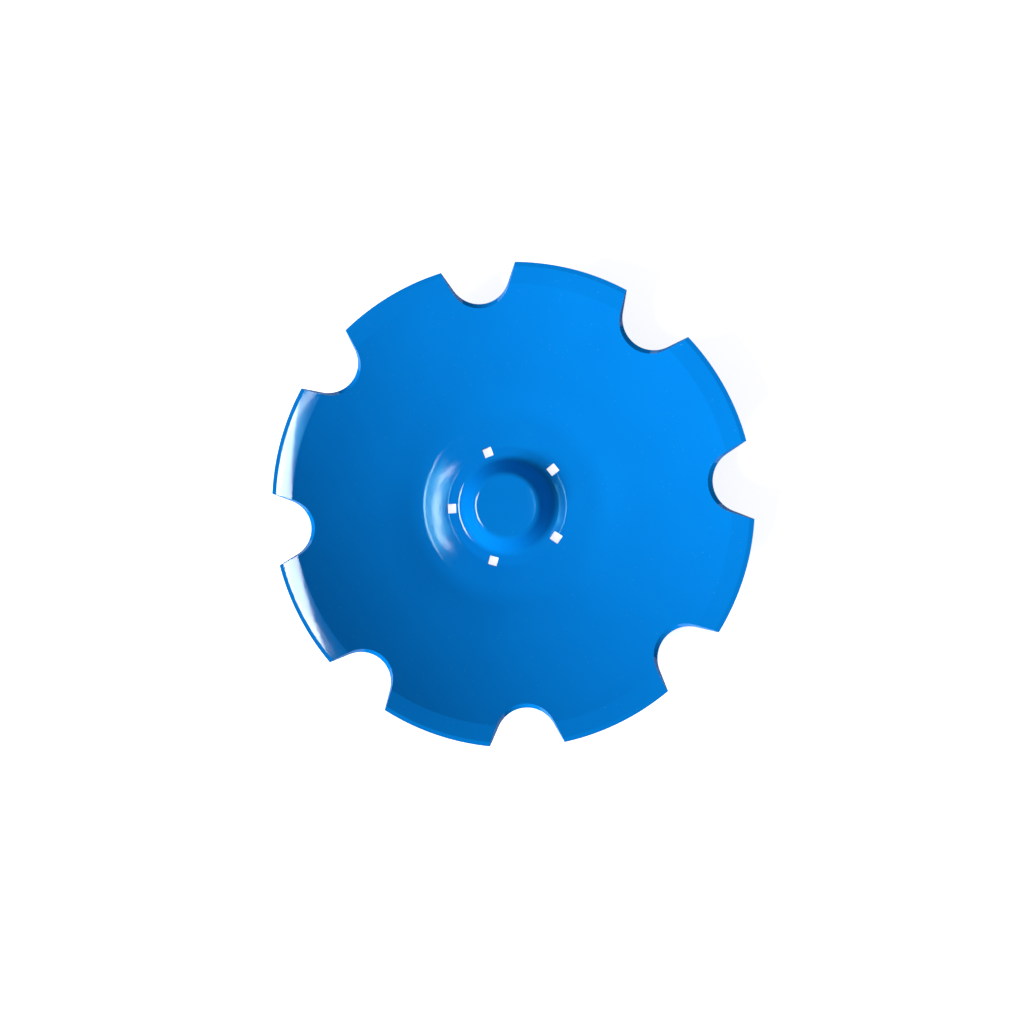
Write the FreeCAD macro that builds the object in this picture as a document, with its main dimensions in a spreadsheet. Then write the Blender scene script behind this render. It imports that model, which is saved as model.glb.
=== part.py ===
"""Notched disc blade for a disc harrow, as a parametric FreeCAD document.

The blade is one pressed sheet: a raised round boss in the middle, the narrow flat
ring round it that the hub seats on, a shallow cone, a steeper one that runs into
the spherical dish, notches in the edge and a rim ground sharp on the hollow side. The frame has the disc's axis on Z, the
hollow side up, and the origin in the middle of the seat's back face, on which the
blade also lies. The first notch is centred on +X.
"""

import FreeCAD, Part
import math
import os

import Sketcher

from FreeCAD import Placement, Rotation, Vector

# Driving dimensions, in millimetres and degrees: name, value and what it is.
SIZES = [
    ("disc_diameter", 620.0, "across the points between the notches"),
    ("steel_thickness", 6.0, "of the sheet"),
    ("dish_radius", 690.0, "of the dish's sphere, bulging side"),
    ("dish_slope", 15.2, "of the steeper cone, and of the sphere where it takes over"),
    ("dish_bend", 190.0, "bend between the two cones, bulging side"),
    ("cone_slope", 7.5, "of the shallow cone outside the hub seat"),
    ("cone_radius", 116.0, "outer end of that cone, bulging side"),
    ("seat_radius", 80.0, "outer end of the flat ring that the hub seats on"),
    ("seat_bend", 46.0, "bend between hub seat and cone, bulging side"),
    ("boss_foot_radius", 71.0, "where the boss starts to rise"),
    ("boss_height", 22.0, "rise of the boss"),
    ("boss_wall_angle", 46.0, "slope of the boss wall"),
    ("boss_foot_bend", 12.0, "bend at the foot of the boss, hollow side"),
    ("boss_shoulder_bend", 12.0, "bend at the top of the boss, hollow side"),
    ("bolt_circle", 160.0, "diameter of the ring of bolt holes"),
    ("bolt_count", 5, "square bolt holes"),
    ("bolt_square", 13.0, "side of a bolt hole"),
    ("bolt_turn", 32.9, "first bolt hole, turned from +X"),
    ("notch_count", 8, "notches in the edge"),
    ("notch_root", 260.0, "axis to the bottom of a notch, hollow side"),
    ("notch_radius", 40.0, "of the round bottom of a notch"),
    ("notch_arc", 64.0, "half of the angle that the round bottom covers"),
    ("notch_slant", 40.0, "lean of the notch's cut edge from square, outward"),
    ("rim_bevel", 25.0, "width of the ground rim, seen along the axis"),
    ("rim_edge_width", 5.5, "width of the steeper outermost edge"),
    ("rim_edge_height", 3.4, "height of steel where the steeper edge starts"),
    ("rim_land", 0.8, "height of the outer edge itself"),
]

# How far a cutting shape runs past the steel that it cuts.
OVERRUN = 20.0

# Sketcher's numbers for the points of a line or an arc, and for the two axes.
START, END, CENTRE = 1, 2, 3
ROOT, ALONG, UP = (-1, 1), -1, -2


# ------------------------------------------------------------ sizes and sheet

class Formula:
    """A value together with the sheet formula that gives it."""

    def __init__(self, value, text):
        self.value = float(value)
        self.text = text

    def _with(self, sign, other, value):
        other_text = other.text if isinstance(other, Formula) else str(other)
        return Formula(value, f"({self.text} {sign} {other_text})")

    def __add__(self, other):
        return self._with("+", other, self.value + number(other))

    def __sub__(self, other):
        return self._with("-", other, self.value - number(other))

    def __mul__(self, other):
        return self._with("*", other, self.value * number(other))

    def __truediv__(self, other):
        return self._with("/", other, self.value / number(other))

    def __pow__(self, other):
        return self._with("^", other, self.value ** number(other))

    def root(self):
        return Formula(math.sqrt(self.value), f"sqrt({self.text})")

    def arcsine(self):
        return Formula(math.degrees(math.asin(self.value)), f"(asin({self.text}) / 1 deg)")

    def sine(self):
        return Formula(math.sin(math.radians(self.value)), f"sin({self.text})")

    def cosine(self):
        return Formula(math.cos(math.radians(self.value)), f"cos({self.text})")


def number(item):
    """The plain number of a formula or of a number."""
    return item.value if isinstance(item, Formula) else float(item)


SIZE = {name: Formula(value, f"Sizes.{name}") for name, value, _ in SIZES}


def make_sheet(doc):
    """Write each driving dimension into a spreadsheet cell with an alias."""
    sheet = doc.addObject("Spreadsheet::Sheet", "Sizes")
    for row, (name, value, note) in enumerate(SIZES, start=1):
        sheet.set(f"A{row}", name)
        sheet.set(f"B{row}", str(value))
        sheet.set(f"C{row}", note)
        sheet.setAlias(f"B{row}", name)
    doc.recompute()


# ------------------------------------------------- places worked out from them

STEEL = SIZE["steel_thickness"]
RIM = SIZE["disc_diameter"] / 2
FOOT_BULGE = SIZE["boss_foot_bend"] + STEEL
CONE_SINE, CONE_COSINE = SIZE["cone_slope"].sine(), SIZE["cone_slope"].cosine()
DISH_SINE, DISH_COSINE = SIZE["dish_slope"].sine(), SIZE["dish_slope"].cosine()

# The shallow cone starts where the seat's bend ends.
CONE_RUN = SIZE["cone_radius"] - SIZE["seat_radius"] - SIZE["seat_bend"] * CONE_SINE
CONE_RISE = SIZE["seat_bend"] - SIZE["seat_bend"] * CONE_COSINE + CONE_RUN * CONE_SINE / CONE_COSINE

# The steeper cone starts where the next bend ends, and runs on to the sphere.
BEND_END = SIZE["cone_radius"] + SIZE["dish_bend"] * (DISH_SINE - CONE_SINE)
BEND_RISE = CONE_RISE + SIZE["dish_bend"] * (CONE_COSINE - DISH_COSINE)
DISH_START = SIZE["dish_radius"] * DISH_SINE
DISH_RISE = BEND_RISE + (DISH_START - BEND_END) * DISH_SINE / DISH_COSINE
DISH_CENTRE = DISH_RISE + SIZE["dish_radius"] * DISH_COSINE
HOLLOW_RADIUS = SIZE["dish_radius"] - STEEL


def bulge_height(radius):
    """Height of the sphere's bulging side at a radius from the axis."""
    return DISH_CENTRE - (SIZE["dish_radius"] ** 2 - radius ** 2).root()


def hollow_height(radius):
    """Height of the sphere's hollow side at a radius from the axis."""
    return DISH_CENTRE - (HOLLOW_RADIUS ** 2 - radius ** 2).root()


def polar(centre, radius, degrees):
    """A point at a radius and an angle from a centre."""
    angle = math.radians(degrees)
    return Vector(centre.x + radius * math.cos(angle), centre.y + radius * math.sin(angle), 0)


# ------------------------------------------------------------------- sketches

class Outline:
    """A sketch on one of the body's own planes, held by named sizes."""

    def __init__(self, body, name, plane):
        self.sketch = body.newObject("Sketcher::SketchObject", name)
        self.sketch.AttachmentSupport = (origin_part(body, plane), [""])
        self.sketch.MapMode = "FlatFace"

    def line(self, start, end):
        return self.sketch.addGeometry(Part.LineSegment(start, end), False)

    def arc(self, centre, radius, first, last):
        circle = Part.Circle(centre, Vector(0, 0, 1), radius)
        angles = math.radians(first), math.radians(last)
        return self.sketch.addGeometry(Part.ArcOfCircle(circle, *angles), False)

    def tie(self, kind, *places):
        """Add a constraint that has no size."""
        self.sketch.addConstraint(Sketcher.Constraint(kind, *places))

    def hold(self, name, kind, places, formula, in_degrees=False):
        """Add a constraint whose size comes from the sheet."""
        value = math.radians(formula.value) if in_degrees else formula.value
        index = self.sketch.addConstraint(Sketcher.Constraint(kind, *places, value))
        self.sketch.renameConstraint(index, name)
        self.sketch.setExpression(f"Constraints.{name}", formula.text)

    def at(self, name, item, point, along, up):
        """Fix a point by its two distances from the sketch's origin."""
        self.hold(f"{name}_along", "DistanceX", (*ROOT, item, point), along)
        self.hold(f"{name}_up", "DistanceY", (*ROOT, item, point), up)


def origin_part(body, role):
    """The body's own plane or axis with this role."""
    for feature in body.Origin.OriginFeatures:
        if feature.Role == role:
            return feature
    raise ValueError(f"no {role} in {body.Label}")


def require_solid(feature, smaller_than=None):
    """Stop unless a feature gives one valid solid, smaller than the one before."""
    feature.Document.recompute()
    shape = feature.Shape
    if shape.isNull() or not shape.isValid() or len(shape.Solids) != 1:
        raise RuntimeError(f"{feature.Name} is not one valid solid")
    if smaller_than is not None and shape.Volume > smaller_than.Shape.Volume - 1.0:
        raise RuntimeError(f"{feature.Name} cut nothing")
    return feature


# ------------------------------------------------------------ the pressed sheet

# The parts of one side of the section, from the axis outward.
TOP, SHOULDER, WALL, FOOT, SEAT, SEAT_BEND, CONE, DISH_BEND, SLOPE, DISH = range(10)


def boss_centres():
    """Centres of the boss's foot bend and of its shoulder bend."""
    wall = math.radians(SIZE["boss_wall_angle"].value)
    bends = SIZE["boss_foot_bend"].value + SIZE["boss_shoulder_bend"].value
    foot = Vector(SIZE["boss_foot_radius"].value, FOOT_BULGE.value, 0)
    rise = SIZE["boss_height"].value - SIZE["boss_shoulder_bend"].value + STEEL.value - foot.y
    run = (bends + rise * math.cos(wall)) / math.sin(wall)
    return foot, foot + Vector(-run, rise, 0)


def press_sheet(body):
    """Revolve the sheet's section: boss, hub seat, cones and dish, both sides."""
    wall, steel = SIZE["boss_wall_angle"].value, STEEL.value
    cone_slope, dish_slope = SIZE["cone_slope"].value, SIZE["dish_slope"].value
    foot_centre, shoulder_centre = boss_centres()
    seat_bend_centre = Vector(SIZE["seat_radius"].value, SIZE["seat_bend"].value, 0)
    dish_bend_centre = Vector((SIZE["cone_radius"] - SIZE["dish_bend"] * CONE_SINE).value,
                              (CONE_RISE + SIZE["dish_bend"] * CONE_COSINE).value, 0)
    dish_centre = Vector(0, DISH_CENTRE.value, 0)

    section = Outline(body, "sheet_section", "XZ_Plane")

    def one_side(inside):
        """One side of the sheet, moved into the hollow."""
        shoulder = SIZE["boss_shoulder_bend"].value - steel + inside
        foot = FOOT_BULGE.value - inside
        seat_bend = SIZE["seat_bend"].value - inside
        dish_bend = SIZE["dish_bend"].value - inside
        dish = SIZE["dish_radius"].value - inside
        rim_angle = math.degrees(math.asin(RIM.value / dish))
        top_end = polar(shoulder_centre, shoulder, 90)
        return (
            section.line(Vector(0, top_end.y, 0), top_end),
            section.arc(shoulder_centre, shoulder, 90 - wall, 90),
            section.line(polar(shoulder_centre, shoulder, 90 - wall),
                         polar(foot_centre, foot, -90 - wall)),
            section.arc(foot_centre, foot, -90 - wall, -90),
            section.line(polar(foot_centre, foot, -90), polar(seat_bend_centre, seat_bend, -90)),
            section.arc(seat_bend_centre, seat_bend, -90, cone_slope - 90),
            section.line(polar(seat_bend_centre, seat_bend, cone_slope - 90),
                         polar(dish_bend_centre, dish_bend, cone_slope - 90)),
            section.arc(dish_bend_centre, dish_bend, cone_slope - 90, dish_slope - 90),
            section.line(polar(dish_bend_centre, dish_bend, dish_slope - 90),
                         polar(dish_centre, dish, dish_slope - 90)),
            section.arc(dish_centre, dish, dish_slope - 90, rim_angle - 90),
        )

    bulge, hollow = one_side(0.0), one_side(steel)
    edge = section.line(Vector(RIM.value, bulge_height(RIM).value, 0),
                        Vector(RIM.value, hollow_height(RIM).value, 0))
    axis_low = Vector(0, SIZE["boss_height"].value, 0)
    axis = section.line(axis_low + Vector(0, steel, 0), axis_low)

    for top, shoulder, wall_line, foot, *outward in (bulge, hollow):
        section.tie("PointOnObject", top, START, UP)
        section.tie("Horizontal", top)
        section.tie("Tangent", top, END, shoulder, END)
        section.tie("Tangent", shoulder, START, wall_line, START)
        section.tie("Tangent", wall_line, END, foot, START)
        section.tie("Horizontal", outward[0])
        for inner, outer in zip([foot] + outward, outward):
            section.tie("Tangent", inner, END, outer, START)
    for concentric in (SHOULDER, FOOT, DISH):
        section.tie("Coincident", bulge[concentric], CENTRE, hollow[concentric], CENTRE)
    section.tie("PointOnObject", bulge[DISH], CENTRE, UP)
    section.tie("Vertical", bulge[SEAT], END, hollow[SEAT], END)
    for parallel in (CONE, SLOPE):
        section.tie("Parallel", bulge[parallel], hollow[parallel])
    section.tie("Coincident", bulge[DISH], END, edge, START)
    section.tie("Coincident", hollow[DISH], END, edge, END)
    section.tie("Coincident", hollow[TOP], START, axis, START)
    section.tie("Coincident", bulge[TOP], START, axis, END)
    section.tie("Vertical", edge)

    radii = [
        ("shoulder", SHOULDER, SIZE["boss_shoulder_bend"] - STEEL, SIZE["boss_shoulder_bend"]),
        ("foot", FOOT, FOOT_BULGE, SIZE["boss_foot_bend"]),
        ("seat_bend", SEAT_BEND, SIZE["seat_bend"], SIZE["seat_bend"] - STEEL),
        ("dish_bend", DISH_BEND, SIZE["dish_bend"], SIZE["dish_bend"] - STEEL),
        ("dish", DISH, SIZE["dish_radius"], HOLLOW_RADIUS),
    ]
    for name, item, bulge_radius, hollow_radius in radii:
        section.hold(f"{name}_bulge", "Radius", (bulge[item],), bulge_radius)
        section.hold(f"{name}_hollow", "Radius", (hollow[item],), hollow_radius)
    section.hold("wall_slope", "Angle", (bulge[WALL], START, ALONG, START),
                 SIZE["boss_wall_angle"], in_degrees=True)
    section.hold("cone_slope", "Angle", (ALONG, START, bulge[CONE], START),
                 SIZE["cone_slope"], in_degrees=True)
    section.hold("dish_slope", "Angle", (ALONG, START, bulge[SLOPE], START),
                 SIZE["dish_slope"], in_degrees=True)
    section.hold("boss_foot", "DistanceX", (*ROOT, bulge[FOOT], CENTRE), SIZE["boss_foot_radius"])
    section.hold("seat_level", "DistanceY", (*ROOT, bulge[FOOT], CENTRE), FOOT_BULGE)
    section.hold("seat_end", "DistanceX", (*ROOT, bulge[SEAT], END), SIZE["seat_radius"])
    section.hold("cone_end", "DistanceX", (*ROOT, bulge[CONE], END), SIZE["cone_radius"])
    section.hold("boss_rise", "DistanceY", (*ROOT, bulge[TOP], START), SIZE["boss_height"])
    section.hold("rim_radius", "DistanceX", (*ROOT, edge, START), RIM)

    sheet = body.newObject("PartDesign::Revolution", "pressed_sheet")
    sheet.Profile = section.sketch
    sheet.ReferenceAxis = (section.sketch, ["V_Axis"])
    sheet.Angle = 360
    return require_solid(sheet)


# ------------------------------------------------------------- the ground rim

def grind_rim(body, before):
    """Cut the rim's two bevels into the hollow side, down to a thin land."""
    inner = RIM - SIZE["rim_bevel"]
    step = RIM - SIZE["rim_edge_width"]
    land_height = bulge_height(RIM) + SIZE["rim_land"]
    clear_radius, clear_height = RIM + OVERRUN, land_height + OVERRUN
    corners = [
        ("bevel_start", inner, hollow_height(inner)),
        ("edge_start", step, bulge_height(step) + SIZE["rim_edge_height"]),
        ("land", RIM, land_height),
        ("outside", clear_radius, land_height),
        ("above", clear_radius, clear_height),
        ("back", inner, clear_height),
    ]
    wheel = Outline(body, "rim_grinding", "XZ_Plane")
    points = [Vector(along.value, up.value, 0) for _, along, up in corners]
    sides = [wheel.line(point, points[(i + 1) % len(points)]) for i, point in enumerate(points)]
    for i, side in enumerate(sides):
        wheel.tie("Coincident", side, END, sides[(i + 1) % len(sides)], START)
    for level in (2, 4):
        wheel.tie("Horizontal", sides[level])
    for upright in (3, 5):
        wheel.tie("Vertical", sides[upright])
    for i in (0, 1, 2, 4):
        name, along, up = corners[i]
        wheel.at(name, sides[i], START, along, up)

    rim = body.newObject("PartDesign::Groove", "ground_rim")
    rim.Profile = wheel.sketch
    rim.ReferenceAxis = (wheel.sketch, ["V_Axis"])
    rim.Angle = 360
    return require_solid(rim, smaller_than=before)


# ----------------------------------------------------------------- the notches

def cut_notches(body, before):
    """Cut one round-bottomed notch on a slant, and repeat it round the edge.

    The notch is drawn on the plane that touches the hollow side at its bottom.
    """
    radius, arc = SIZE["notch_radius"], SIZE["notch_arc"]
    root, root_height = SIZE["notch_root"], hollow_height(SIZE["notch_root"])
    tilt = (root / HOLLOW_RADIUS).arcsine()
    flank = Formula(90, "90") - arc
    mouth = RIM - root + 2 * OVERRUN

    notch = Outline(body, "notch_outline", "XY_Plane")
    notch.sketch.AttachmentOffset = Placement(Vector(root.value, 0, root_height.value),
                                              Rotation(Vector(0, -1, 0), tilt.value))
    notch.sketch.setExpression("AttachmentOffset.Base.x", root.text)
    notch.sketch.setExpression("AttachmentOffset.Base.z", root_height.text)
    notch.sketch.setExpression("AttachmentOffset.Rotation.Angle", tilt.text)

    centre = Vector(radius.value, 0, 0)
    start = polar(centre, radius.value, 180 - arc.value)
    spread = start.y + (mouth.value - start.x) * math.tan(math.radians(flank.value))
    bottom = notch.arc(centre, radius.value, 180 - arc.value, 180 + arc.value)
    left = notch.line(start, Vector(mouth.value, spread, 0))
    right = notch.line(Vector(start.x, -start.y, 0), Vector(mouth.value, -spread, 0))
    close = notch.line(Vector(mouth.value, spread, 0), Vector(mouth.value, -spread, 0))
    notch.tie("Tangent", bottom, START, left, START)
    notch.tie("Tangent", bottom, END, right, START)
    notch.tie("Coincident", left, END, close, START)
    notch.tie("Coincident", right, END, close, END)
    notch.tie("Vertical", close)
    notch.tie("Equal", left, right)
    notch.tie("PointOnObject", bottom, CENTRE, ALONG)
    notch.hold("bottom_radius", "Radius", (bottom,), radius)
    notch.hold("bottom_centre", "DistanceX", (*ROOT, bottom, CENTRE), radius)
    notch.hold("flank_slope", "Angle", (ALONG, START, left, START), flank, in_degrees=True)
    notch.hold("mouth", "DistanceX", (*ROOT, left, END), mouth)

    lean = Formula(90, "90") - tilt - SIZE["notch_slant"]
    guide = Outline(body, "notch_direction", "XZ_Plane")
    away = polar(Vector(root.value, root_height.value, 0), OVERRUN, -lean.value)
    cut_line = guide.line(Vector(root.value, root_height.value, 0), away)
    guide.at("guide_start", cut_line, START, root, root_height)
    guide.hold("guide_length", "Distance", (cut_line,), Formula(OVERRUN, str(OVERRUN)))
    guide.hold("guide_slope", "Angle", (cut_line, START, ALONG, START), lean, in_degrees=True)

    cut = body.newObject("PartDesign::Pocket", "notch")
    cut.Profile = notch.sketch
    cut.UseCustomVector = False
    cut.ReferenceAxis = (guide.sketch, ["Edge1"])
    cut.AlongSketchNormal = True
    cut.SideType = "Symmetric"
    cut.Type = "Length"
    cut.setExpression("Length", (STEEL * 4).text)
    require_solid(cut, smaller_than=before)
    return repeat(body, cut, "notches", "notch_count")


def repeat(body, feature, name, count):
    """Repeat a feature evenly round the disc's axis."""
    pattern = body.newObject("PartDesign::PolarPattern", name)
    pattern.Originals = [feature]
    pattern.Axis = (origin_part(body, "Z_Axis"), [""])
    pattern.Angle = 360
    pattern.setExpression("Occurrences", SIZE[count].text)
    body.Tip = pattern
    return require_solid(pattern, smaller_than=feature)


# -------------------------------------------------------------- the bolt holes

def punch_bolt_holes(body, before):
    """Punch one square hole for a coach bolt, and repeat it round the flange."""
    half, middle = SIZE["bolt_square"] / 2, SIZE["bolt_circle"] / 2
    hole = Outline(body, "bolt_hole_outline", "XY_Plane")
    hole.sketch.AttachmentOffset = Placement(Vector(), Rotation(Vector(0, 0, 1), SIZE["bolt_turn"].value))
    hole.sketch.setExpression("AttachmentOffset.Rotation.Angle", SIZE["bolt_turn"].text)

    corners = [Vector(middle.value + along * half.value, across * half.value, 0)
               for along, across in ((1, -1), (1, 1), (-1, 1), (-1, -1))]
    sides = [hole.line(corner, corners[(i + 1) % 4]) for i, corner in enumerate(corners)]
    for i, side in enumerate(sides):
        hole.tie("Coincident", side, END, sides[(i + 1) % 4], START)
        hole.tie("Horizontal" if i % 2 else "Vertical", side)
    hole.hold("outer_side", "DistanceX", (*ROOT, sides[0], START), middle + half)
    hole.hold("inner_side", "DistanceX", (*ROOT, sides[2], START), middle - half)
    hole.hold("left_side", "DistanceY", (*ROOT, sides[1], START), half)
    hole.hold("right_side", "DistanceY", (sides[3], START, *ROOT), half)

    punch = body.newObject("PartDesign::Pocket", "bolt_hole")
    punch.Profile = hole.sketch
    punch.SideType = "Symmetric"
    punch.Type = "Length"
    punch.setExpression("Length", (STEEL * 4).text)
    require_solid(punch, smaller_than=before)
    return repeat(body, punch, "bolt_holes", "bolt_count")


# ------------------------------------------------------------------- the blade

def make_blade(doc):
    """Press, grind, notch and punch the one piece of the blade."""
    body = doc.addObject("PartDesign::Body", "disc_blade")
    body.Label = "disc_blade"
    body.Placement = Placement()
    pressed = press_sheet(body)
    ground = grind_rim(body, before=pressed)
    notched = cut_notches(body, before=ground)
    punch_bolt_holes(body, before=notched)
    return body


def check(doc):
    """Stop if any object of the document failed."""
    for item in doc.Objects:
        if {"Invalid", "Error"} & set(item.State):
            raise RuntimeError(f"{item.Name} failed: {item.State}")


def main():
    doc = FreeCAD.newDocument("harrow_disc")
    make_sheet(doc)
    blade = make_blade(doc)
    doc.recompute()
    check(doc)
    require_solid(blade)
    os.makedirs("parts", exist_ok=True)
    blade.Shape.exportStep(f"parts/{blade.Label}.step")
    box = blade.Shape.BoundBox
    print(f"{blade.Label}: {box.XLength:.2f} x {box.YLength:.2f} x {box.ZLength:.2f} mm, "
          f"{blade.Shape.Volume / 1000:.1f} cm3")


main()
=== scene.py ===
"""Studio picture of a notched harrow disc blade in glossy blue enamel.

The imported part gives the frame. The blade is rebuilt here on the same section, fine
enough for a gloss surface to reflect cleanly, with its edges eased by the paint, and
then set under the lights and the camera of a white product studio.
"""

import logging
import math
from dataclasses import dataclass, field
from enum import Enum

import bmesh
import bpy
import numpy as np
from mathutils import Euler, Matrix, Vector

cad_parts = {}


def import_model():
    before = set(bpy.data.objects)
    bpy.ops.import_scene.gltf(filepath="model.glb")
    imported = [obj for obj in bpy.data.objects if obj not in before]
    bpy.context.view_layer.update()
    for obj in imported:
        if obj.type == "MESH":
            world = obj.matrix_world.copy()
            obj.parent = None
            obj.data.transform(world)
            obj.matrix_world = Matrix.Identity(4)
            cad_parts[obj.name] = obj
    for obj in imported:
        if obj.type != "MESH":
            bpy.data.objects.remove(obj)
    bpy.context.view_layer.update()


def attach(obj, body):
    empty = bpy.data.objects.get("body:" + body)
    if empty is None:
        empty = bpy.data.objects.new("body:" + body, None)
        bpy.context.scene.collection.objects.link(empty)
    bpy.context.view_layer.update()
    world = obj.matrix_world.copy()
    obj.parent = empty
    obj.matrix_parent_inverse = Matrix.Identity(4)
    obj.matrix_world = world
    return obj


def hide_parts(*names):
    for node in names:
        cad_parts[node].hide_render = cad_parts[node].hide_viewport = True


MM = 0.001
LOG = logging.getLogger("harrow_disc")


class Side(Enum):
    """The two sides of the pressed sheet."""

    BULGE = -1.0
    HOLLOW = 1.0


# ------------------------------------------------------------------ small helpers

def srgb(code: str) -> tuple[float, float, float, float]:
    """Turn an sRGB hex colour such as "0A84E0" into linear RGBA."""
    channels = [int(code[i:i + 2], 16) / 255 for i in (0, 2, 4)]
    linear = [c / 12.92 if c <= 0.04045 else ((c + 0.055) / 1.055) ** 2.4 for c in channels]
    return (*linear, 1.0)


def add_node(tree: bpy.types.NodeTree, kind: str, settings: dict | None = None,
             inputs: dict | None = None) -> bpy.types.Node:
    """Add a node, set its properties, and set or link its inputs.

    Args:
        tree: The node tree that gets the node.
        kind: The node's type, such as "ShaderNodeBump".
        settings: Properties of the node by name.
        inputs: Input values by name or number. An output socket is linked instead.

    Returns:
        The new node.
    """
    node = tree.nodes.new(kind)
    for name, value in (settings or {}).items():
        setattr(node, name, value)
    for name, value in (inputs or {}).items():
        if isinstance(value, bpy.types.NodeSocket):
            tree.links.new(value, node.inputs[name])
        else:
            node.inputs[name].default_value = value
    return node


def aim(obj: bpy.types.Object, target: Vector) -> None:
    """Turn a light so that it shines at a point."""
    obj.rotation_euler = (target - obj.location).to_track_quat("-Z", "Y").to_euler()


# ------------------------------------------------------------------- the section

@dataclass(frozen=True)
class Stretch:
    """One piece of a side's outline, from the axis outward.

    A straight stretch has no radius. A curved one has its centre above it, or below
    it where the radius is negative.
    """

    start: float
    end: float
    steps: int
    slope: float = 0.0
    level: float = 0.0
    centre: tuple[float, float] = (0.0, 0.0)
    radius: float = 0.0

    def height(self, r: float) -> float:
        """Height above the frame's origin at a distance from the axis."""
        if self.radius == 0.0:
            return self.level + (r - self.start) * math.tan(self.slope)
        drop = math.sqrt(self.radius ** 2 - (r - self.centre[0]) ** 2)
        return self.centre[1] - math.copysign(drop, self.radius)

    def lean(self, r: float) -> float:
        """Slope in radians at a distance from the axis."""
        if self.radius == 0.0:
            return self.slope
        return math.asin(max(-1.0, min(1.0, (r - self.centre[0]) / self.radius)))


@dataclass(frozen=True)
class BladeSection:
    """Sizes of the pressed sheet in millimetres and degrees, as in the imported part."""

    disc_radius: float = 310.0
    steel: float = 6.0
    dish_radius: float = 690.0
    dish_slope: float = 15.2
    dish_bend: float = 190.0
    cone_slope: float = 7.5
    cone_radius: float = 116.0
    seat_radius: float = 80.0
    seat_bend: float = 46.0
    boss_foot_radius: float = 71.0
    boss_height: float = 22.0
    boss_wall_angle: float = 46.0
    boss_bend: float = 12.0
    rim_bevel: float = 25.0
    rim_edge_width: float = 5.5
    rim_edge_height: float = 3.4
    rim_land: float = 0.8

    def stretches(self, side: Side) -> list[Stretch]:
        """Outline of one side, as stretches that touch end to end.

        Args:
            side: The bulging or the hollow side.

        Returns:
            The stretches from the axis to the rim.
        """
        inside = self.steel if side is Side.HOLLOW else 0.0
        wall, cone, dish = (math.radians(a) for a in
                            (self.boss_wall_angle, self.cone_slope, self.dish_slope))
        shoulder = self.boss_bend - self.steel + inside
        foot = self.boss_bend + self.steel - inside
        foot_centre = (self.boss_foot_radius, self.boss_bend + self.steel)
        rise = self.boss_height - self.boss_bend + self.steel - foot_centre[1]
        run = (2 * self.boss_bend + rise * math.cos(wall)) / math.sin(wall)
        shoulder_centre = (foot_centre[0] - run, foot_centre[1] + rise)

        cone_run = self.cone_radius - self.seat_radius - self.seat_bend * math.sin(cone)
        cone_rise = self.seat_bend * (1 - math.cos(cone)) + cone_run * math.tan(cone)
        bend_centre = (self.cone_radius - self.dish_bend * math.sin(cone),
                       cone_rise + self.dish_bend * math.cos(cone))
        bend_end = bend_centre[0] + self.dish_bend * math.sin(dish)
        dish_start = self.dish_radius * math.sin(dish)
        bend_rise = bend_centre[1] - self.dish_bend * math.cos(dish)
        dish_rise = bend_rise + (dish_start - bend_end) * math.tan(dish)
        dish_centre = (0.0, dish_rise + self.dish_radius * math.cos(dish))

        def curve(centre, radius, first, last, steps):
            ends = [centre[0] + radius * math.sin(a) for a in (first, last)]
            return Stretch(ends[0], ends[1], steps, centre=centre, radius=radius)

        def straight(before, after, slope, steps):
            return Stretch(before.end, after.start, steps, slope, before.height(before.end))

        shoulder_arc = curve(shoulder_centre, -shoulder, 0.0, -wall, 8)
        foot_arc = curve(foot_centre, foot, -wall, 0.0, 8)
        seat_arc = curve((self.seat_radius, self.seat_bend), self.seat_bend - inside, 0.0, cone, 4)
        dish_arc = curve(bend_centre, self.dish_bend - inside, cone, dish, 8)
        sphere = self.dish_radius - inside
        rim = self.disc_radius - (self.rim_bevel if side is Side.HOLLOW else 0.0)
        dish_part = Stretch(sphere * math.sin(dish), rim, 20, centre=dish_centre, radius=sphere)
        parts = [
            Stretch(0.0, shoulder_arc.start, 8, 0.0, self.boss_height + inside),
            shoulder_arc, straight(shoulder_arc, foot_arc, -wall, 4),
            foot_arc, straight(foot_arc, seat_arc, 0.0, 3),
            seat_arc, straight(seat_arc, dish_arc, cone, 6),
            dish_arc, straight(dish_arc, dish_part, dish, 8), dish_part,
        ]
        return parts + (self.ground(dish_part, dish_centre) if side is Side.HOLLOW else [])

    def ground(self, dish_part: Stretch, centre: tuple[float, float]) -> list[Stretch]:
        """The rim's two ground bevels on the hollow side."""
        under = Stretch(0, 0, 1, centre=centre, radius=self.dish_radius)
        step = self.disc_radius - self.rim_edge_width
        points = [(dish_part.end, dish_part.height(dish_part.end)),
                  (step, under.height(step) + self.rim_edge_height),
                  (self.disc_radius, under.height(self.disc_radius) + self.rim_land)]
        return [Stretch(a[0], b[0], steps, math.atan2(b[1] - a[1], b[0] - a[0]), a[1])
                for a, b, steps in zip(points, points[1:], (6, 2))]


# --------------------------------------------------------------------- materials

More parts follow.
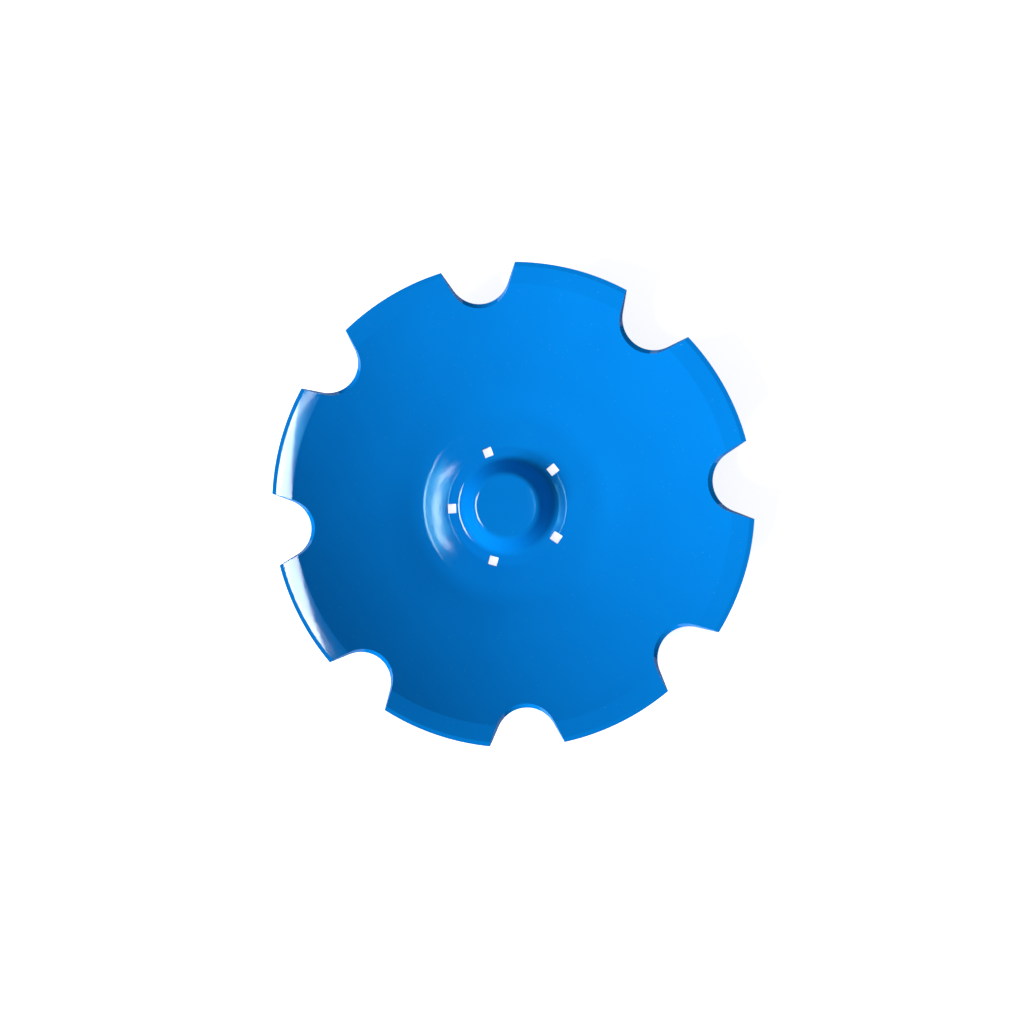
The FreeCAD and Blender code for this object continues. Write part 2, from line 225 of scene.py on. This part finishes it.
@dataclass(frozen=True)
class EnamelFinish:
    """Stoved gloss enamel: a deep blue coat with the slight waviness of sprayed paint."""

    colour: str = "048CEF"
    shade: str = "0384E4"
    roughness: float = 0.22
    coat_roughness: float = 0.05
    peel_size_mm: float = 3.2
    peel_depth_mm: float = 0.012
    dust_size_mm: float = 1.6

    def build(self) -> bpy.types.Material:
        """Make the enamel material."""
        material = bpy.data.materials.new("gloss_enamel_on_steel")
        material.use_nodes = True
        tree = material.node_tree
        tree.nodes.clear()
        place = add_node(tree, "ShaderNodeTexCoord").outputs["Object"]

        # Film thickness drifts a little over a hand's breadth.
        drift = add_node(tree, "ShaderNodeTexNoise", inputs={
            "Vector": place, "Scale": 1 / (90 * MM), "Detail": 2.0}).outputs["Fac"]
        base = add_node(tree, "ShaderNodeMix", {"data_type": "RGBA"}, {
            0: drift, 6: srgb(self.shade), 7: srgb(self.colour)}).outputs[2]

        # Specks of overspray and dust that dried into the coat.
        cells = add_node(tree, "ShaderNodeTexVoronoi", inputs={
            "Vector": place, "Scale": 1 / (self.dust_size_mm * 6 * MM)}).outputs["Distance"]
        speck = add_node(tree, "ShaderNodeMapRange", inputs={
            "Value": cells, "From Min": 0.05, "From Max": 0.09, "To Min": 1.0,
            "To Max": 0.0}).outputs["Result"]
        lit = add_node(tree, "ShaderNodeMix", {"data_type": "RGBA"}, {
            0: speck, 6: base, 7: srgb("2A9BEE")}).outputs[2]

        # Orange peel, the fine waviness of sprayed enamel.
        peel = add_node(tree, "ShaderNodeTexNoise", inputs={
            "Vector": place, "Scale": 1 / (self.peel_size_mm * MM), "Detail": 2.5}).outputs["Fac"]
        wavy = add_node(tree, "ShaderNodeBump", inputs={
            "Height": peel, "Distance": self.peel_depth_mm * MM, "Strength": 1.0})
        raised = add_node(tree, "ShaderNodeBump", inputs={
            "Height": speck, "Distance": 0.05 * MM, "Strength": 0.6,
            "Normal": wavy.outputs["Normal"]})
        shader = add_node(tree, "ShaderNodeBsdfPrincipled", inputs={
            "Base Color": lit, "Roughness": self.roughness, "Specular IOR Level": 0.0,
            "Coat Weight": 1.0, "Coat Roughness": self.coat_roughness, "Coat IOR": 1.5,
            "Normal": raised.outputs["Normal"], "Coat Normal": raised.outputs["Normal"]})
        add_node(tree, "ShaderNodeOutputMaterial", inputs={"Surface": shader.outputs["BSDF"]})
        return material


# --------------------------------------------------------------------- the blade

@dataclass(frozen=True)
class CutSizes:
    """Sizes of the notches and bolt holes in millimetres and degrees."""

    notch_count: int = 8
    notch_root: float = 260.0
    notch_radius: float = 40.0
    notch_arc: float = 64.0
    notch_slant: float = 40.0
    bolt_count: int = 5
    bolt_circle: float = 160.0
    bolt_square: float = 13.0
    bolt_corner: float = 0.8
    bolt_turn: float = 32.9
    overrun: float = 20.0
    columns: int = 576


@dataclass
class DiscBlade:
    """The one piece of the object: the pressed, notched and painted sheet."""

    section: BladeSection = field(default_factory=BladeSection)
    cuts: CutSizes = field(default_factory=CutSizes)
    finish: EnamelFinish = field(default_factory=EnamelFinish)

    def build(self) -> bpy.types.Object:
        """Turn the section, cut the notches and holes, and smooth the surfaces."""
        blade = self.turned_sheet()
        cutters = [self.notch_cutter(k) for k in range(self.cuts.notch_count)]
        cutters += [self.hole_cutter(k) for k in range(self.cuts.bolt_count)]
        self.cut(blade, cutters)
        self.smooth(blade)
        return blade

    def dress(self, blade: bpy.types.Object) -> None:
        """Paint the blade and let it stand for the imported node."""
        blade.data.materials.clear()
        blade.data.materials.append(self.finish.build())
        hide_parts("disc_blade")
        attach(blade, "root")

    def turned_sheet(self) -> bpy.types.Object:
        """Revolve both sides of the section into one closed mesh."""
        outline = []
        for side in (Side.BULGE, Side.HOLLOW):
            points = []
            for stretch in self.section.stretches(side):
                for step in range(stretch.steps):
                    r = stretch.start + (stretch.end - stretch.start) * step / stretch.steps
                    points.append((r, stretch.height(r)))
            points.append((stretch.end, stretch.height(stretch.end)))
            outline += points if side is Side.BULGE else points[::-1]
        work = bmesh.new()
        verts = [work.verts.new((r * MM, 0.0, z * MM)) for r, z in outline]
        edges = [work.edges.new(pair) for pair in zip(verts, verts[1:])]
        bmesh.ops.spin(work, geom=verts + edges, cent=(0, 0, 0), axis=(0, 0, 1),
                       angle=math.tau, steps=self.cuts.columns, use_merge=True)
        bmesh.ops.remove_doubles(work, verts=work.verts, dist=1e-6)
        bmesh.ops.recalc_face_normals(work, faces=work.faces)
        return self.to_object(work, "painted_disc_blade")

    def to_object(self, work: bmesh.types.BMesh, name: str) -> bpy.types.Object:
        """Turn a bmesh into an object of the scene."""
        mesh = bpy.data.meshes.new(name)
        work.to_mesh(mesh)
        work.free()
        obj = bpy.data.objects.new(name, mesh)
        bpy.context.scene.collection.objects.link(obj)
        return obj

    def prism(self, name: str, low: list[Vector], high: list[Vector]) -> bpy.types.Object:
        """A closed cutter between two outlines of as many points."""
        work = bmesh.new()
        rings = [[work.verts.new(point * MM) for point in ring] for ring in (low, high)]
        count = len(low)
        for i in range(count):
            j = (i + 1) % count
            work.faces.new((rings[0][i], rings[0][j], rings[1][j], rings[1][i]))
        work.faces.new(rings[0][::-1])
        work.faces.new(rings[1])
        bmesh.ops.recalc_face_normals(work, faces=work.faces)
        return self.to_object(work, name)

    def notch_outline(self) -> list[tuple[float, float]]:
        """A notch on the plane that touches the hollow side at its bottom."""
        radius, arc = self.cuts.notch_radius, math.radians(self.cuts.notch_arc)
        steps = 48
        bend = [(radius - radius * math.cos(a), radius * math.sin(a))
                for a in (-arc + 2 * arc * i / steps for i in range(steps + 1))]
        mouth = self.section.disc_radius - self.cuts.notch_root + 2 * self.cuts.overrun
        spread = bend[-1][1] + (mouth - bend[-1][0]) / math.tan(arc)
        return [(mouth, -spread), *bend, (mouth, spread)]

    def notch_cutter(self, index: int) -> bpy.types.Object:
        """The slanted cutter of one notch."""
        root = self.cuts.notch_root
        dish = self.section.stretches(Side.HOLLOW)[9]
        tilt = dish.lean(root)
        along = Vector((math.cos(tilt), 0, math.sin(tilt)))
        across = Vector((0, 1, 0))
        lean = math.pi / 2 - tilt - math.radians(self.cuts.notch_slant)
        down = Vector((math.cos(lean), 0, -math.sin(lean)))
        middle = Vector((root, 0, dish.height(root)))
        reach = 2 * self.section.steel
        turn = Matrix.Rotation(math.tau * index / self.cuts.notch_count, 3, "Z")
        plane = [middle + along * u + across * v for u, v in self.notch_outline()]
        low = [turn @ (point + down * reach) for point in plane]
        high = [turn @ (point - down * reach) for point in plane]
        return self.prism(f"notch_cutter_{index}", low, high)

    def hole_cutter(self, index: int) -> bpy.types.Object:
        """The upright cutter of one square bolt hole, with its small corner curves."""
        half, corner = self.cuts.bolt_square / 2, self.cuts.bolt_corner
        turn = Matrix.Rotation(math.radians(self.cuts.bolt_turn)
                               + math.tau * index / self.cuts.bolt_count, 3, "Z")
        ring = []
        for quarter in range(4):
            for step in range(5):
                angle = math.pi / 2 * (quarter + step / 4)
                sign_x = 1 if quarter in (0, 3) else -1
                sign_y = 1 if quarter in (0, 1) else -1
                ring.append(Vector((
                    self.cuts.bolt_circle / 2 + sign_x * (half - corner) + corner * math.cos(angle),
                    sign_y * (half - corner) + corner * math.sin(angle), 0)))
        reach = 2 * self.section.steel
        low = [turn @ (point + Vector((0, 0, -reach))) for point in ring]
        high = [turn @ (point + Vector((0, 0, reach))) for point in ring]
        return self.prism(f"hole_cutter_{index}", low, high)

    def cut(self, blade: bpy.types.Object, cutters: list[bpy.types.Object]) -> None:
        """Take the cutters out of the blade."""
        group = bpy.data.collections.new("cutters")
        for cutter in cutters:
            group.objects.link(cutter)
        modifier = blade.modifiers.new("cuts", "BOOLEAN")
        modifier.operand_type = "COLLECTION"
        modifier.collection = group
        modifier.operation = "DIFFERENCE"
        modifier.solver = "EXACT"
        graph = bpy.context.evaluated_depsgraph_get()
        mesh = bpy.data.meshes.new_from_object(blade.evaluated_get(graph))
        blade.modifiers.clear()
        blade.data = mesh
        for cutter in cutters:
            bpy.data.objects.remove(cutter, do_unlink=True)
        bpy.data.collections.remove(group)

    def smooth(self, blade: bpy.types.Object) -> None:
        """Give every corner the true normal of the section's surface it lies on."""
        mesh = blade.data
        sides = {side: self.section.stretches(side) for side in Side}
        normals = []
        mesh.polygons.foreach_set("use_smooth", [True] * len(mesh.polygons))
        for face in mesh.polygons:
            centre = face.center / MM
            found = self.surface_under(sides, centre, face.normal)
            for index in face.vertices:
                point = mesh.vertices[index].co / MM
                normals.append(self.normal_at(found, point) if found else face.normal.copy())
        mesh.normals_split_custom_set(normals)

    def surface_under(self, sides: dict, centre: Vector,
                      normal: Vector) -> tuple[Side, Stretch] | None:
        """The side and stretch that a face belongs to, or nothing on a cut wall."""
        side = Side.HOLLOW if normal.z > 0 else Side.BULGE
        r = math.hypot(centre.x, centre.y)
        for stretch in sides[side]:
            if stretch.start - 1e-4 <= r <= stretch.end + 1e-4:
                slope = stretch.lean(r)
                true = self.direction(side, slope, centre)
                if true.dot(normal) > 0.999 and abs(stretch.height(r) - centre.z) < 0.2:
                    return side, stretch
        return None

    def normal_at(self, found: tuple[Side, Stretch], point: Vector) -> Vector:
        """The surface's normal at a corner."""
        side, stretch = found
        r = max(stretch.start, min(stretch.end, math.hypot(point.x, point.y)))
        return self.direction(side, stretch.lean(r), point)

    def direction(self, side: Side, slope: float, point: Vector) -> Vector:
        """A unit normal of one side from its slope and the way out from the axis."""
        r = math.hypot(point.x, point.y) or 1.0
        out = Vector((point.x / r, point.y / r, 0))
        normal = Vector((0, 0, math.cos(slope))) - out * math.sin(slope)
        return normal * side.value


# -------------------------------------------------------------------- the studio

@dataclass(frozen=True)
class Panel:
    """A soft panel that only the gloss mirrors. Places and sizes are in metres."""

    name: str
    place: tuple[float, float, float]
    size: tuple[float, float]
    radiance: float
    tint: str = "FFFFFF"

    def build(self, target: Vector) -> bpy.types.Object:
        """Hang the panel and turn it to a point."""
        data = bpy.data.lights.new(self.name, "AREA")
        data.shape = "RECTANGLE"
        data.size, data.size_y = self.size
        data.energy = self.radiance * math.pi * self.size[0] * self.size[1]
        data.color = srgb(self.tint)[:3]
        lamp = bpy.data.objects.new(self.name, data)
        lamp.location = self.place
        aim(lamp, target)
        lamp.visible_diffuse = False
        lamp.visible_camera = False
        bpy.context.scene.collection.objects.link(lamp)
        return lamp


@dataclass(frozen=True)
class KeyLight:
    """The low broad light that shades the dish from dark to bright across its width."""

    bearing: float = 209.5
    from_axis: float = 60.0
    strength: float = 3.85
    spread: float = 28.0

    def build(self) -> bpy.types.Object:
        """Make the light, turned from its bearing on the disc's axis."""
        data = bpy.data.lights.new("low_key", "SUN")
        data.energy = self.strength
        data.angle = math.radians(self.spread)
        lamp = bpy.data.objects.new("low_key", data)
        lamp.rotation_euler = Euler((0, math.radians(self.from_axis), math.radians(self.bearing)))
        lamp.visible_glossy = False
        bpy.context.scene.collection.objects.link(lamp)
        return lamp


@dataclass
class Studio:
    """White floor, even fill, a low key light and the panels that the gloss mirrors."""

    floor_size: float = 14.0
    ambient: float = 0.22
    floor_glow: float = 0.79
    key: KeyLight = field(default_factory=KeyLight)
    panels: tuple[Panel, ...] = (
        Panel("ceiling_window", (-0.065, 0.010, 3.0), (0.15, 0.27), 6.0, "6FE4FF"),
        Panel("window_pane_middle", (-0.045, 0.015, 2.98), (0.045, 0.15), 13.0, "E8FAFF"),
        Panel("window_pane_near", (-0.072, 0.135, 2.98), (0.030, 0.09), 13.0, "E8FAFF"),
        Panel("window_pane_far", (-0.075, -0.125, 2.98), (0.030, 0.11), 13.0, "E8FAFF"),
        Panel("left_card", (-0.295, 0.0, 0.5), (0.25, 0.15), 18.0),
    )

    def build(self) -> None:
        """Build the floor, the world and the lights."""
        self.floor()
        self.world()
        self.key.build()
        for panel in self.panels:
            panel.build(Vector((panel.place[0] if panel.place[2] > 1 else 0.0, panel.place[1], 0.0)))

    def floor(self) -> bpy.types.Object:
        """A matt white floor under the blade, that keeps its shadow."""
        mesh = bpy.data.meshes.new("studio_floor")
        half = self.floor_size / 2
        corners = [(-half, -half, 0), (half, -half, 0), (half, half, 0), (-half, half, 0)]
        mesh.from_pydata(corners, [], [(0, 1, 2, 3)])
        floor = bpy.data.objects.new("studio_floor", mesh)
        floor.location.z = -0.0005
        bpy.context.scene.collection.objects.link(floor)
        material = bpy.data.materials.new("matt_white_sweep")
        material.use_nodes = True
        tree = material.node_tree
        tree.nodes.clear()
        paper = add_node(tree, "ShaderNodeBsdfDiffuse", inputs={"Color": srgb("FBFBFB")})
        glow = add_node(tree, "ShaderNodeEmission", inputs={
            "Color": srgb("FFFFFF"), "Strength": self.floor_glow})
        seen = add_node(tree, "ShaderNodeLightPath").outputs["Is Camera Ray"]
        dark = add_node(tree, "ShaderNodeEmission", inputs={"Strength": 0.0})
        lift = add_node(tree, "ShaderNodeMixShader", inputs={
            0: seen, 1: dark.outputs[0], 2: glow.outputs[0]})
        both = add_node(tree, "ShaderNodeAddShader", inputs={
            0: paper.outputs[0], 1: lift.outputs[0]})
        add_node(tree, "ShaderNodeOutputMaterial", inputs={"Surface": both.outputs[0]})
        mesh.materials.append(material)
        return floor

    def world(self) -> None:
        """Even fill for the paint, dark where the gloss would mirror it."""
        world = bpy.data.worlds.new("studio_fill")
        bpy.context.scene.world = world
        world.use_nodes = True
        tree = world.node_tree
        tree.nodes.clear()
        path = add_node(tree, "ShaderNodeLightPath")
        fill = add_node(tree, "ShaderNodeBackground", inputs={
            "Color": srgb("FFFFFF"), "Strength": self.ambient})
        dim = add_node(tree, "ShaderNodeBackground", inputs={
            "Color": srgb("FFFFFF"), "Strength": 0.01})
        white = add_node(tree, "ShaderNodeBackground", inputs={
            "Color": srgb("FFFFFF"), "Strength": 1.0})
        lit = add_node(tree, "ShaderNodeMixShader", inputs={
            0: path.outputs["Is Glossy Ray"], 1: fill.outputs[0], 2: dim.outputs[0]})
        seen = add_node(tree, "ShaderNodeMixShader", inputs={
            0: path.outputs["Is Camera Ray"], 1: lit.outputs[0], 2: white.outputs[0]})
        add_node(tree, "ShaderNodeOutputWorld", inputs={"Surface": seen.outputs[0]})


@dataclass(frozen=True)
class Camera:
    """A wide lens close above the blade, a hand's breadth to one side of its axis."""

    place: tuple[float, float, float] = (0.08518, -0.00906, 0.76532)
    turn: tuple[float, float, float] = (-0.62762, 6.00996, -5.93478)
    lens: float = 19.27
    sensor: float = 36.0

    def build(self) -> bpy.types.Object:
        """Make the scene's camera."""
        data = bpy.data.cameras.new("studio_camera")
        data.lens, data.sensor_width = self.lens, self.sensor
        data.clip_start = 0.01
        camera = bpy.data.objects.new("studio_camera", data)
        camera.location = self.place
        camera.rotation_euler = Euler([math.radians(a) for a in self.turn])
        bpy.context.scene.collection.objects.link(camera)
        bpy.context.scene.camera = camera
        return camera


def main() -> None:
    """Build the blade and the studio."""
    logging.basicConfig(level=logging.INFO, format="%(name)s: %(message)s")
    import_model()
    blade = DiscBlade()
    painted = blade.build()
    blade.dress(painted)
    LOG.info("blade: %d faces", len(painted.data.polygons))
    Studio().build()
    LOG.info("studio built")
    Camera().build()
    LOG.info("camera set")
    bpy.context.scene.view_settings.view_transform = "Standard"


if __name__ == "__main__":
    main()
